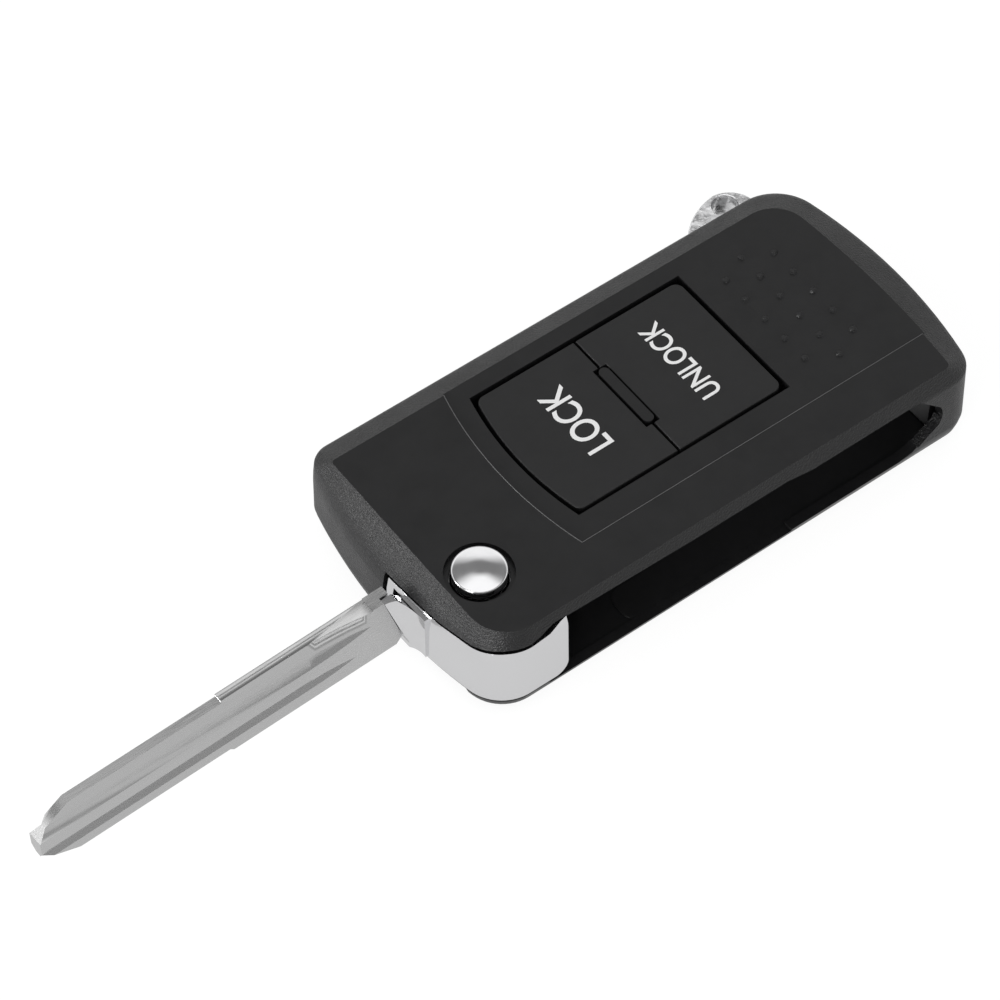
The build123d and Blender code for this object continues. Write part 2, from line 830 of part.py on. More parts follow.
# the corner block follows the outline of the case, just under the rim of the mouth
with BuildPart() as head_block:
    loft(
        [case_section(down(depth), head_inset) for depth in outer_depths[:-1]]
        + [case_section(blade_bottom, head_inset)],
        ruled=True,
    )
    with BuildSketch(Plane.XY):
        with BuildLine():
            Polyline(
                (-pocket_radius, -pocket_radius),
                (wing_end, -pocket_radius),
                (wing_end, wing_from_y),
                (head_back, wing_from_y),
                (head_back, head_left),
                (-pocket_radius, head_left),
                close=True,
            )
        make_face()
    extrude(amount=case_height, mode=Mode.INTERSECT)
    # top edge along the front
    with BuildSketch(Plane.YZ.offset(-pocket_radius)):
        with BuildLine():
            Polyline(
                (notch_y, down(rim_front_depth + head_rim_gap)),
                (rim_middle_y, down(rim_middle_depth + head_rim_gap)),
                (-top_right, down(rim_corner_depth + head_corner_gap)),
                (-pocket_radius, down(rim_corner_depth + head_corner_gap)),
                (-pocket_radius, case_height),
                (notch_y, case_height),
                close=True,
            )
        make_face()
    extrude(amount=pocket_radius, mode=Mode.SUBTRACT)
    # top edge of the wing and its rounded lower corner
    with BuildSketch(Plane.XZ.offset(pocket_radius)):
        with BuildLine():
            Polyline(
                (-overlap, down(rim_corner_depth + head_corner_gap)),
                (wing_step_x, down(wing_step_depth)),
                (wing_rise_x, down(wing_rise_depth)),
                (wing_end, down(wing_tip_depth)),
                (wing_end + mouth_over, case_height),
                (-overlap, case_height),
                close=True,
            )
        make_face()
        with BuildLine():
            ThreePointArc(
                (wing_end - wing_round, blade_bottom),
                (wing_end - wing_round * arc_inset, blade_bottom + wing_round * arc_inset),
                (wing_end, blade_bottom + wing_round),
            )
            Polyline(
                (wing_end, blade_bottom + wing_round),
                (wing_end + mouth_over, blade_bottom - mouth_over),
                (wing_end - wing_round, blade_bottom),
            )
        make_face()
    extrude(amount=-pocket_radius, mode=Mode.SUBTRACT)
    # the part behind the front edge stays under the rim while the head turns
    with BuildSketch(Plane.XY.offset(down(rim_front_depth + head_inset))):
        with Locations((-overlap, wing_from_y)):
            Rectangle(pocket_radius, pocket_radius, align=(Align.MIN, Align.MIN))
    extrude(amount=case_height, mode=Mode.SUBTRACT)
    # clearance round the collar
    with BuildSketch(Plane.XY.offset(ceiling - collar_drop - moving_gap)):
        Circle(collar_bore + collar_wall + moving_gap)
    extrude(amount=case_height, mode=Mode.SUBTRACT)

with BuildPart() as flip_head:
    add(head_block.part)
    add(head_nose.part)
    # turned drum with its cone and neck
    with BuildSketch(Plane.XZ):
        with BuildLine():
            Polyline(
                (0, back_wall + drum_gap),
                (drum_radius, back_wall + drum_gap),
                (drum_radius, down(drum_top_depth)),
                (cone_radius, down(cone_depth)),
                (neck_radius, ceiling - collar_drop - collar_gap),
                (neck_radius, down(neck_top_depth)),
                (0, down(neck_top_depth)),
                close=True,
            )
        make_face()
    revolve(axis=Axis.Z)
    # bore for the release button and counterbore for the boss
    with BuildSketch(Plane.XY.offset(back_wall)):
        Circle(button_bore)
    extrude(amount=case_height, mode=Mode.SUBTRACT)
    with BuildSketch(Plane.XY.offset(back_wall)):
        Circle(boss_radius + boss_play)
    extrude(amount=boss_rise + moving_gap, mode=Mode.SUBTRACT)
    # slots for the locking lugs
    with BuildSketch(head_plane.offset(lug_top - lug_tall - button_travel - moving_gap)):
        Rectangle(lug_wide + 2 * lug_slot_gap, 2 * (lug_reach + moving_gap))
    extrude(amount=case_height, mode=Mode.SUBTRACT)
    # slot for the tang of the blade
    with BuildSketch(side_plane(tang_near + tang_play)):
        with Locations((tang_inner - tang_play, down(tang_slot_depth))):
            Rectangle(tang_slot_long, tang_slot_wide, align=(Align.MIN, Align.MIN))
    extrude(amount=tang_thick + 2 * tang_play, mode=Mode.SUBTRACT)
    with BuildSketch(side_plane(pin_near)):
        with Locations((pin_along, pin_height)):
            Circle(pin_radius)
    extrude(amount=pin_long + cut_over, mode=Mode.SUBTRACT)
flip_head.part.label = "flip_head"
export_step(flip_head.part, "parts/flip_head.step")

# milled strip and groove of one side, swept in by a disc cutter
with BuildPart() as blade_cutter:
    face_back = blade_near + cut_over
    with BuildSketch(cross_plane(cutter_stop)) as cutter_profile:
        with BuildLine():
            Polyline(
                (face_back, blade_top + cut_over),
                (blade_near - strip_cut, blade_top + cut_over),
                (blade_near - strip_cut, down(strip_floor_depth)),
                (blade_near, down(strip_edge_depth)),
                (face_back, down(strip_edge_depth)),
                close=True,
            )
        make_face()
        with BuildLine():
            Polyline(
                (face_back, down(groove_top_depth)),
                (blade_near, down(groove_top_depth)),
                (blade_near - groove_cut, down(groove_floor_depth)),
                (blade_near, down(groove_low_depth)),
                (face_back, down(groove_low_depth)),
                close=True,
            )
        make_face()
    extrude(amount=blade_tip)
    revolve(
        cutter_profile.sketch,
        axis=Axis(along * cutter_stop + across * (blade_near - strip_cut + cutter_radius), (0, 0, 1)),
        revolution_arc=-cutter_turn,
    )

with BuildPart() as key_blade:
    # near layer, cut back along the seam with the nose
    with BuildSketch(side_plane(blade_near)):
        with BuildLine():
            Polyline(
                (seam_at(blade_top + block_rise) + seam_gap, blade_top + block_rise),
                (blade_start, blade_top + block_rise),
                (blade_start, blade_top),
                (blade_step, blade_top),
                (blade_step, blade_top - blade_narrow),
                (tip_top_x, blade_top - blade_narrow),
                (blade_tip, down(tip_high_depth)),
                (blade_tip, down(tip_low_depth)),
                (tip_under_x, blade_bottom + blade_narrow),
                (blade_step, blade_bottom + blade_narrow),
                (blade_step - blade_narrow, blade_bottom),
                (block_heel, blade_bottom),
                (seam_low + seam_gap, down(seam_low_depth)),
                close=True,
            )
        make_face()
    extrude(amount=blade_thick)
    # far layer of the block beside the nose
    with BuildSketch(side_plane(tang_near)):
        with Locations((block_end, blade_bottom + block_foot)):
            Rectangle(
                blade_start - block_end,
                blade_width + block_rise - block_foot,
                align=(Align.MIN, Align.MIN),
            )
    extrude(amount=tang_near - blade_far)
    add(blade_cutter.part, mode=Mode.SUBTRACT)
    blade_middle = across * (blade_near - blade_thick / 2) + Vector(0, 0, (blade_top + blade_bottom) / 2)
    add(blade_cutter.part.rotate(Axis(blade_middle, along), 180), mode=Mode.SUBTRACT)
    # tang inside the head
    with BuildSketch(side_plane(tang_near)):
        with Locations((tang_inner, down(tang_low_depth))):
            Rectangle(block_end + rib - tang_inner, tang_wide, align=(Align.MIN, Align.MIN))
    extrude(amount=tang_thick)
    with BuildSketch(side_plane(pin_near)):
        with Locations((pin_along, pin_height)):
            Circle(pin_radius)
    extrude(amount=pin_long + cut_over, mode=Mode.SUBTRACT)
key_blade.part.label = "key_blade"
export_step(key_blade.part, "parts/key_blade.step")

with BuildPart() as blade_pin:
    with BuildSketch(side_plane(pin_near)):
        with Locations((pin_along, pin_height)):
            Circle(pin_radius)
    extrude(amount=pin_long)
blade_pin.part.label = "blade_pin"
export_step(blade_pin.part, "parts/blade_pin.step")

cap_top = case_height + cap_proud

with BuildPart() as release_cap:
    with BuildSketch(Plane.XZ):
        with BuildLine():
            Polyline(
                (0, cap_top),
                (cap_radius - cap_edge, cap_top),
                (cap_radius - cap_edge * arc_inset, cap_top - cap_edge * arc_inset),
                (cap_radius, cap_top - cap_edge),
                (cap_radius, down(cap_skirt_depth)),
                (cap_spigot + fit_gap, down(cap_skirt_depth)),
                (cap_spigot + fit_gap, cap_top - cap_thick),
                (0, cap_top - cap_thick),
                close=True,
            )
        make_face()
    revolve(axis=Axis.Z)
release_cap.part.label = "release_cap"
export_step(release_cap.part, "parts/release_cap.step")

with BuildPart() as release_stem:
    with BuildSketch(Plane.XZ):
        with BuildLine():
            Polyline(
                (0, cap_top - cap_thick),
                (cap_spigot, cap_top - cap_thick),
                (cap_spigot, down(cap_skirt_depth)),
                (stem_radius, down(cap_skirt_depth)),
                (stem_radius, button_bottom),
                (stem_inner, button_bottom),
                (stem_inner, down(stem_roof_depth)),
                (0, down(stem_roof_depth)),
                close=True,
            )
        make_face()
    revolve(axis=Axis.Z)
    with BuildSketch(head_plane.offset(lug_top - lug_tall)):
        Rectangle(lug_wide, 2 * lug_reach)
        Circle(stem_inner, mode=Mode.SUBTRACT)
    extrude(amount=lug_tall)
release_stem.part.label = "release_stem"
export_step(release_stem.part, "parts/release_stem.step")

with BuildPart() as flip_spring:
    spring_long = down(stem_roof_depth) - spring_seat - 2 * spring_wire
    with BuildLine(Plane.XY.offset(spring_seat + spring_wire)) as coil:
        Helix(pitch=spring_long / spring_turns, height=spring_long, radius=spring_coil)
    with BuildSketch(Plane(origin=coil.line @ 0, z_dir=coil.line % 0)):
        RegularPolygon(spring_wire, spring_facets)
    sweep(is_frenet=True)
flip_spring.part.label = "flip_spring"
export_step(flip_spring.part, "parts/flip_spring.step")

with BuildPart() as case_screw:
    with BuildSketch(Plane.XY.offset(screw_recess)):
        with Locations((screw_x, screw_y)):
            Circle(screw_head)
    extrude(amount=screw_head_high)
    with BuildSketch(Plane.XY.offset(screw_recess)):
        with Locations((screw_x, screw_y)):
            Circle(screw_radius)
    extrude(amount=screw_long)
    with BuildSketch(Plane.XY.offset(screw_recess)):
        with Locations((screw_x, screw_y)):
            Rectangle(screw_cross, screw_cross_wide)
            Rectangle(screw_cross_wide, screw_cross)
    extrude(amount=screw_cross_deep, mode=Mode.SUBTRACT)
case_screw.part.label = "case_screw"
export_step(case_screw.part, "parts/case_screw.step")
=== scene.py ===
import json
import math

import bpy
from mathutils import Matrix, Vector

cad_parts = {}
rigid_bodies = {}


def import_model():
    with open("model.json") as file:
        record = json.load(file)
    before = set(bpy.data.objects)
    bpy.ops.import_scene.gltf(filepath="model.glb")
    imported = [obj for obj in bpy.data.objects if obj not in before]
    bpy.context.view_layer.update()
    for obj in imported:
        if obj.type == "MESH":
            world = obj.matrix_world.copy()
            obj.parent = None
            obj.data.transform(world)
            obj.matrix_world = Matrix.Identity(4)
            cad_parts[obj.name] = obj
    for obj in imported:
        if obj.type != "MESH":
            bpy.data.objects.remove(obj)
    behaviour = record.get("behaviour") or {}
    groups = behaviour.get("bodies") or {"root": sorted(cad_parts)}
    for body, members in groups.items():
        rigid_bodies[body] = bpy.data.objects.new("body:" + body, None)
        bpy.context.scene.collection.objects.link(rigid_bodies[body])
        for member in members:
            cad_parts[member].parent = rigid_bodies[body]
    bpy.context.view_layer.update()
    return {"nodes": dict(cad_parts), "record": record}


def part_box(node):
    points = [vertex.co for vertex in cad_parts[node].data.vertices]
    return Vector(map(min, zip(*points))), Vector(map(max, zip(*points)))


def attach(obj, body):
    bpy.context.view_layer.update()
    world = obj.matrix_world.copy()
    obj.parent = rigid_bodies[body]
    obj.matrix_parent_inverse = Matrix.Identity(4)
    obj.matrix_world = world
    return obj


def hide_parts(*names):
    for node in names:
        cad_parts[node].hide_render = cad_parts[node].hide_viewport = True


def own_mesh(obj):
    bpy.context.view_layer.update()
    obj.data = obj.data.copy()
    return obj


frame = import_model()

MM = 0.001

BODY_OF = {node: body for body, nodes in frame["record"]["behaviour"]["bodies"].items() for node in nodes}

# Finished copies: how near points merge, and up to which angle faces count as one flat face
MERGE = 0.001 * MM
FLAT_ANGLE = math.radians(0.5)

# Angles between faces up to which a piece is shaded smooth
SMOOTH_ANGLE = math.radians(30)
CASE_SMOOTH_ANGLE = math.radians(32)
CAP_SMOOTH_ANGLE = math.radians(40)
COIL_SMOOTH_ANGLE = math.radians(80)

# Angles from which an edge of the top face stays sharp, and from which one can be the panel's rim
CRISP_ANGLE = math.radians(9)
RIM_ANGLE = math.radians(60)

# Widths of the rounded small edges, and in how many steps they turn
TRAY_EDGE = 0.12 * MM
KEY_EDGE = 0.08 * MM
CHROME_EDGE = 0.1 * MM
EAR_EDGE = 0.5 * MM
EDGE_STEPS = 2

# Upper case: a box in the blade slot whose walls get paler plastic as painted fill light, rectangles seen
# from above, and the lowest height of its top edges
SLOT_PAINTED_LIGHT_BOX = (Vector((2.0, -8.6, 1.2)) * MM, Vector((62.2, -3.0, 12.9)) * MM)
PANEL_OUTSIDE = (Vector((10.0, -3.95)) * MM, Vector((72.5, 23.5)) * MM)
PANEL_INSIDE = (Vector((12.8, -3.35)) * MM, Vector((72.5, 23.25)) * MM)
DOT_FIELD = (Vector((48.5, -1.2)) * MM, Vector((58.5, 20.0)) * MM)
TOP_EDGES_FROM = 13.7 * MM
PANEL_RIM_FROM = 13.95 * MM

# Fine line along the panel's rim, a painted highlight in paler plastic
BEAD_RADIUS = 0.06 * MM
BEAD_STEPS = 2

# Moulded surfaces: how much their roughness varies, and how the grain fades on faces that look up
ROUGHNESS_SPREAD = 0.04
GRAIN_FADES_FROM = 0.93
GRAIN_FADED_AT = 0.985
FADED_GRAIN = 0.06

# The photograph's camera, found from the edges of the case
CAMERA_PLACE = Vector((-142.5, -197.2, 358.5)) * MM
CAMERA_RIGHT = Vector((0.80213, -0.59715, -0.00317))
CAMERA_DOWN = Vector((-0.48244, -0.64490, -0.59275))
CAMERA_AHEAD = Vector((0.35191, 0.47699, -0.80538))
FOCAL_PIXELS = 3679.0
FRAME_PIXELS = 1000.0
SENSOR = 36.0
NEAREST_SEEN = 0.01

# Printed words: word, key, body, its middle along X and Y, height of its letters and its length in mm
WORD_THICK = 0.03 * MM
WORD_SINK = 0.005 * MM
FONT_THICK = 0.01
FONT_BOLDNESS = 0.012
FONT_STEPS = 6
WORDS = (
    ("LOCK", "lock_button", "lock", 22.25, 11.15, 3.7, 10.7),
    ("UNLOCK", "unlock_button", "unlock", 37.75, 10.8, 2.95, 13.1),
)

# Crown of the release button's cap: share of its radius, and drop below its top
CAP_SIDES = 96
CAP_RINGS = (
    (1.0, 0.42 * MM),
    (0.985, 0.36 * MM),
    (0.95, 0.32 * MM),
    (0.9, 0.29 * MM),
    (0.78, 0.225 * MM),
    (0.62, 0.145 * MM),
    (0.45, 0.07 * MM),
    (0.3, 0.022 * MM),
    (0.18, 0.005 * MM),
    (0.08, 0.0005 * MM),
    (0.03, 0.0),
)

# Studio: the floor, and the sky's tone in reflections by the sine of its height
FLOOR_SIZE = 6
FLOOR_COLOR = (0.85, 0.85, 0.85, 1)
FLOOR_ROUGHNESS = 0.9
FLOOR_GLOW_SHARE = 0.8
FLOOR_GLOW = 1.12
FLOOR_GLOW_REFLECTED = 0.72
FLOOR_GAP = 0.2 * MM
SKY_STRENGTH = 1.0
SKY_TONES = (
    (0.0, 0.4),
    (0.35, 0.4),
    (0.5, 1.1),
    (0.64, 1.1),
    (0.74, 0.22),
    (0.86, 0.22),
    (0.92, 1.2),
    (1.0, 1.2),
)

# Low softboxes that light the bevels at the front: name, place, size and power
LAMP_AIM = (0.0, 0.0, 0.01)
LAMPS = (
    ("left_softbox", (-0.86, 0.42, 0.17), 0.3, 4),
    ("front_softbox", (-0.9, -0.33, 0.2), 0.38, 6),
)


def deselect():
    bpy.ops.object.select_all(action="DESELECT")


def keep_only(piece):
    deselect()
    piece.select_set(True)
    bpy.context.view_layer.objects.active = piece


def fresh_material(name, color, metallic, roughness):
    material = bpy.data.materials.new(name)
    material.use_nodes = True
    shader = material.node_tree.nodes["Principled BSDF"]
    shader.inputs["Base Color"].default_value = (*color, 1)
    shader.inputs["Metallic"].default_value = metallic
    shader.inputs["Roughness"].default_value = roughness
    return material, shader


def object_coordinates(material, scale=(1, 1, 1)):
    nodes, links = material.node_tree.nodes, material.node_tree.links
    place = nodes.new("ShaderNodeTexCoord")
    mapping = nodes.new("ShaderNodeMapping")
    mapping.inputs["Scale"].default_value = scale
    links.new(place.outputs["Object"], mapping.inputs["Vector"])
    return mapping.outputs["Vector"]


def noise(material, vector, scale, detail=2.0, roughness=0.5):
    nodes, links = material.node_tree.nodes, material.node_tree.links
    texture = nodes.new("ShaderNodeTexNoise")
    texture.inputs["Scale"].default_value = scale
    texture.inputs["Detail"].default_value = detail
    texture.inputs["Roughness"].default_value = roughness
    links.new(vector, texture.inputs["Vector"])
    return texture.outputs["Fac"]


def ramp(material, value, low, high, first, last):
    # runs from first to last while the value goes from low to high
    nodes, links = material.node_tree.nodes, material.node_tree.links
    spread = nodes.new("ShaderNodeMapRange")
    spread.inputs["From Min"].default_value = low
    spread.inputs["From Max"].default_value = high
    spread.inputs["To Min"].default_value = first
    spread.inputs["To Max"].default_value = last
    links.new(value, spread.inputs["Value"])
    return spread.outputs["Result"]


def vary_roughness(material, shader, value, low, high, smooth, rough):
    spread = ramp(material, value, low, high, smooth, rough)
    material.node_tree.links.new(spread, shader.inputs["Roughness"])


def bump(material, shader, height, distance, strength=1.0):
    nodes, links = material.node_tree.nodes, material.node_tree.links
    relief = nodes.new("ShaderNodeBump")
    relief.inputs["Strength"].default_value = strength
    relief.inputs["Distance"].default_value = distance
    links.new(height, relief.inputs["Height"])
    links.new(relief.outputs["Normal"], shader.inputs["Normal"])
    return relief


def tint(material, shader, value, dark, light):
    nodes, links = material.node_tree.nodes, material.node_tree.links
    mix = nodes.new("ShaderNodeMix")
    mix.data_type = "RGBA"
    mix.inputs["A"].default_value = (*dark, 1)
    mix.inputs["B"].default_value = (*light, 1)
    links.new(value, mix.inputs["Factor"])
    links.new(mix.outputs["Result"], shader.inputs["Base Color"])


def moulded_plastic(name, dark, light, roughness, shine, grain, grain_size, grained_sides=False):
    # black plastic with fine grain, which on the case is strong on the sides and faint on the flat top
    material, shader = fresh_material(name, light, metallic=0.0, roughness=roughness)
    shader.inputs["Specular IOR Level"].default_value = shine
    place = object_coordinates(material)
    tint(material, shader, noise(material, place, scale=900, detail=3), dark, light)
    sheen = noise(material, place, scale=260, detail=3)
    smooth, rough = roughness - ROUGHNESS_SPREAD, roughness + ROUGHNESS_SPREAD
    vary_roughness(material, shader, sheen, 0.3, 0.7, smooth, rough)
    grains = noise(material, place, scale=1 / grain_size, detail=2, roughness=0.6)
    relief = bump(material, shader, grains, distance=grain)
    if grained_sides:
        nodes, links = material.node_tree.nodes, material.node_tree.links
        shape = nodes.new("ShaderNodeNewGeometry")
        split = nodes.new("ShaderNodeSeparateXYZ")
        links.new(shape.outputs["True Normal"], split.inputs["Vector"])
        fade = ramp(material, split.outputs["Z"], GRAIN_FADES_FROM, GRAIN_FADED_AT, 1.0, FADED_GRAIN)
        links.new(fade, relief.inputs["Strength"])
    return material


def chrome_plate(name):
    # smooth plating on a casting that is slightly wavy
    material, shader = fresh_material(name, (0.8, 0.8, 0.81), metallic=1.0, roughness=0.12)
    place = object_coordinates(material)
    cast = noise(material, place, scale=500, detail=3)
    vary_roughness(material, shader, cast, 0.35, 0.65, smooth=0.09, rough=0.16)
    bump(material, shader, noise(material, place, scale=160, detail=2), distance=0.02 * MM, strength=0.4)
    return material


def rough_chrome(name):
    # the ring ear is a rougher casting than the head
    material, shader = fresh_material(name, (0.86, 0.86, 0.87), metallic=1.0, roughness=0.3)
    place = object_coordinates(material)
    cast = noise(material, place, scale=900, detail=3)
    vary_roughness(material, shader, cast, 0.35, 0.65, smooth=0.2, rough=0.4)
    bump(material, shader, noise(material, place, scale=700, detail=2), distance=0.25 * MM, strength=0.8)
    return material


def ground_steel(name):
    # fine grinding lines along X
    material, shader = fresh_material(name, (0.58, 0.58, 0.58), metallic=1.0, roughness=0.26)
    along = object_coordinates(material, (0.05, 1, 1))
    lines = noise(material, along, scale=9000, detail=2)
    vary_roughness(material, shader, lines, 0.3, 0.7, smooth=0.2, rough=0.34)
    bump(material, shader, lines, distance=0.004 * MM, strength=0.5)
    return material


def silicone_rubber(name):
    material, shader = fresh_material(name, (0.03, 0.03, 0.032), metallic=0.0, roughness=0.7)
    place = object_coordinates(material)
    bump(material, shader, noise(material, place, scale=3000, detail=2), distance=0.01 * MM, strength=0.6)
    return material


def white_print(name):
    material, shader = fresh_material(name, (0.86, 0.86, 0.86), metallic=0.0, roughness=0.5)
    place = object_coordinates(material)
    bump(material, shader, noise(material, place, scale=5000, detail=2), distance=0.003 * MM, strength=0.5)
    return material


def bare_copy(source, name):
    # copy without the notes that the original carries
    keep_only(source)
    bpy.ops.object.duplicate(linked=False)
    twin = bpy.context.object
    twin.name = name
    for key in list(twin.keys()):
        del twin[key]
    return twin


def choose_edges(piece, wanted):
    # in edit mode, keeps selected only those edges whose middle passes the test
    bpy.ops.object.mode_set(mode="OBJECT")
    corners = piece.data.vertices
    for edge in piece.data.edges:
        if edge.select:
            middle = (corners[edge.vertices[0]].co + corners[edge.vertices[1]].co) / 2
            edge.select = wanted(middle)
    for face in piece.data.polygons:
        face.select = False
    for corner in corners:
        corner.select = False
    for edge in piece.data.edges:
        if edge.select:
            corners[edge.vertices[0]].select = True
            corners[edge.vertices[1]].select = True
    bpy.ops.object.mode_set(mode="EDIT")


def in_plan(place, rectangle):
    # whether a place is within a rectangle, seen from above
    low, high = rectangle
    return low.x < place.x < high.x and low.y < place.y < high.y


def on_panel_rim(place):
    # upper edge of the step round the shallow panel
    outline = in_plan(place, PANEL_OUTSIDE) and not in_plan(place, PANEL_INSIDE)
    return outline and place.z > PANEL_RIM_FROM


def on_top_face(place):
    # edges of the top face, but for those of the raised dots
    return place.z > TOP_EDGES_FROM and not in_plan(place, DOT_FIELD)


def finished_piece(node, name, material, edge=0.0, smooth_angle=SMOOTH_ANGLE, crisp=None):
    # merged copy of a CAD node with soft small edges, shown in the node's place
    piece = bare_copy(frame["nodes"][node], name)
    bpy.ops.object.parent_clear(type="CLEAR_KEEP_TRANSFORM")
    bpy.ops.object.mode_set(mode="EDIT")
    bpy.ops.mesh.select_all(action="SELECT")
    bpy.ops.mesh.remove_doubles(threshold=MERGE)
    bpy.ops.mesh.dissolve_limited(angle_limit=FLAT_ANGLE)
    bpy.ops.mesh.select_all(action="DESELECT")
    bpy.ops.mesh.select_mode(type="EDGE")
    if crisp:
        bpy.ops.mesh.edges_select_sharp(sharpness=CRISP_ANGLE)
        choose_edges(piece, crisp)
        bpy.ops.mesh.mark_sharp()
    if edge:
        bpy.ops.mesh.edges_select_sharp(sharpness=smooth_angle)
        bpy.ops.mesh.bevel(offset=edge, segments=EDGE_STEPS, affect="EDGES", clamp_overlap=True)
        bpy.ops.mesh.select_all(action="SELECT")
        bpy.ops.mesh.remove_doubles(threshold=MERGE)
    bpy.ops.object.mode_set(mode="OBJECT")
    bpy.ops.object.shade_smooth_by_angle(angle=smooth_angle)
    weighting = piece.modifiers.new("flat_faces", "WEIGHTED_NORMAL")
    weighting.keep_sharp = True
    bpy.ops.object.modifier_apply(modifier=weighting.name)
    piece.data.materials.clear()
    piece.data.materials.append(material)
    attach(piece, BODY_OF[node])
    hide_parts(node)
    deselect()
    return piece


def domed_cap(node, name, material):
    # chrome cap with a shallow crown, raised ring by ring from a circle
    low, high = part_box(node)
    radius = (high.x - low.x) / 2
    foot = (0, 0, low.z)
    deselect()
    bpy.ops.mesh.primitive_circle_add(vertices=CAP_SIDES, radius=radius, fill_type="NOTHING", location=foot)
    cap = bpy.context.object
    cap.name = name
    bpy.ops.object.transform_apply(location=True, rotation=False, scale=False)
    bpy.ops.object.mode_set(mode="EDIT")
    bpy.ops.mesh.select_all(action="SELECT")
    last_share, last_drop = 1.0, high.z - low.z
    for share, drop in CAP_RINGS:
        bpy.ops.mesh.extrude_edges_move(TRANSFORM_OT_translate={"value": (0, 0, last_drop - drop)})
        bpy.ops.transform.resize(value=(share / last_share, share / last_share, 1))
        last_share, last_drop = share, drop
    bpy.ops.mesh.edge_face_add()
    bpy.ops.mesh.select_all(action="SELECT")
    bpy.ops.mesh.normals_make_consistent(inside=False)
    bpy.ops.object.mode_set(mode="OBJECT")
    bpy.ops.object.shade_smooth_by_angle(angle=CAP_SMOOTH_ANGLE)
    cap.data.materials.append(material)
    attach(cap, BODY_OF[node])
    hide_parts(node)
    deselect()


def panel_highlight_bead(piece, name, material):
    # fine raised line along the rim of the shallow panel, in paler plastic as a painted highlight of the
    # step's edge
    bead = bare_copy(piece, name)
    bpy.ops.object.mode_set(mode="EDIT")
    bpy.ops.mesh.select_all(action="DESELECT")
    bpy.ops.mesh.select_mode(type="EDGE")
    bpy.ops.mesh.edges_select_sharp(sharpness=RIM_ANGLE)
    choose_edges(bead, on_panel_rim)
    bpy.ops.mesh.select_all(action="INVERT")
    bpy.ops.mesh.delete(type="EDGE")
    bpy.ops.mesh.select_all(action="SELECT")
    bpy.ops.mesh.delete(type="ONLY_FACE")
    bpy.ops.object.mode_set(mode="OBJECT")
    bpy.ops.object.convert(target="CURVE")
    bead = bpy.context.object
    bead.data.bevel_depth = BEAD_RADIUS
    bead.data.bevel_resolution = BEAD_STEPS
    bpy.ops.object.convert(target="MESH")
    bead = bpy.context.object
    bpy.ops.object.shade_smooth()
    bead.data.materials.clear()
    bead.data.materials.append(material)
    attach(bead, BODY_OF["upper_shell"])
    deselect()


def slot_walls_painted_light(piece, material):
    # the walls inside the blade slot are smoother than the outside, and their paler colour is painted fill
    # light for the dim slot
    piece.data.materials.append(material)
    low, high = SLOT_PAINTED_LIGHT_BOX
    for face in piece.data.polygons:
        middle = face.center
        if all(low[axis] < middle[axis] < high[axis] for axis in range(3)):
            face.material_index = 1


def printed_word(text, node, body, x, y, height, width, material):
    # thin white letters on top of a key, read from the key ring end
    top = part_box(node)[1].z
    deselect()
    bpy.ops.object.text_add(location=(0, 0, 0))
    word = bpy.context.object
    word.name = text.lower() + "_print"
    word.data.body = text
    word.data.align_x = "CENTER"
    word.data.align_y = "CENTER"
    word.data.extrude = FONT_THICK
    word.data.offset = FONT_BOLDNESS
    word.data.resolution_u = FONT_STEPS
    bpy.ops.object.convert(target="MESH")
    corners = [vertex.co for vertex in word.data.vertices]
    lows = Vector([min(corner[axis] for corner in corners) for axis in range(3)])
    highs = Vector([max(corner[axis] for corner in corners) for axis in range(3)])
    middle = (lows + highs) / 2
    size = highs - lows
    word.data.transform(Matrix.Translation(-middle))
    stretch = Matrix.Diagonal((width * MM / size.x, height * MM / size.y, WORD_THICK / size.z, 1))
    turn = Matrix.Rotation(math.pi / 2, 4, "Z")
    place = Matrix.Translation((x * MM, y * MM, top + WORD_THICK / 2 - WORD_SINK))
    word.data.transform(place @ turn @ stretch)
    word.data.materials.append(material)
    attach(word, body)


def floor():
    # glowing white to the camera, greyer in reflections, with a faint shadow of the object
    deselect()
    bpy.ops.mesh.primitive_plane_add(size=FLOOR_SIZE, location=(0, 0, -FLOOR_GAP))
    plane = bpy.context.object
    plane.name = "floor"
    material = bpy.data.materials.new("white_floor")
    material.use_nodes = True
    nodes, links = material.node_tree.nodes, material.node_tree.links
    shader = nodes["Principled BSDF"]
    shader.inputs["Base Color"].default_value = FLOOR_COLOR
    shader.inputs["Roughness"].default_value = FLOOR_ROUGHNESS
    glow = nodes.new("ShaderNodeEmission")
    rays = nodes.new("ShaderNodeLightPath")
    strength = ramp(material, rays.outputs["Is Camera Ray"], 0.0, 1.0, FLOOR_GLOW_REFLECTED, FLOOR_GLOW)
    links.new(strength, glow.inputs["Strength"])
    mix = nodes.new("ShaderNodeMixShader")
    mix.inputs["Fac"].default_value = FLOOR_GLOW_SHARE
    links.new(shader.outputs["BSDF"], mix.inputs[1])
    links.new(glow.outputs["Emission"], mix.inputs[2])
    links.new(mix.outputs["Shader"], nodes["Material Output"].inputs["Surface"])
    plane.data.materials.append(material)


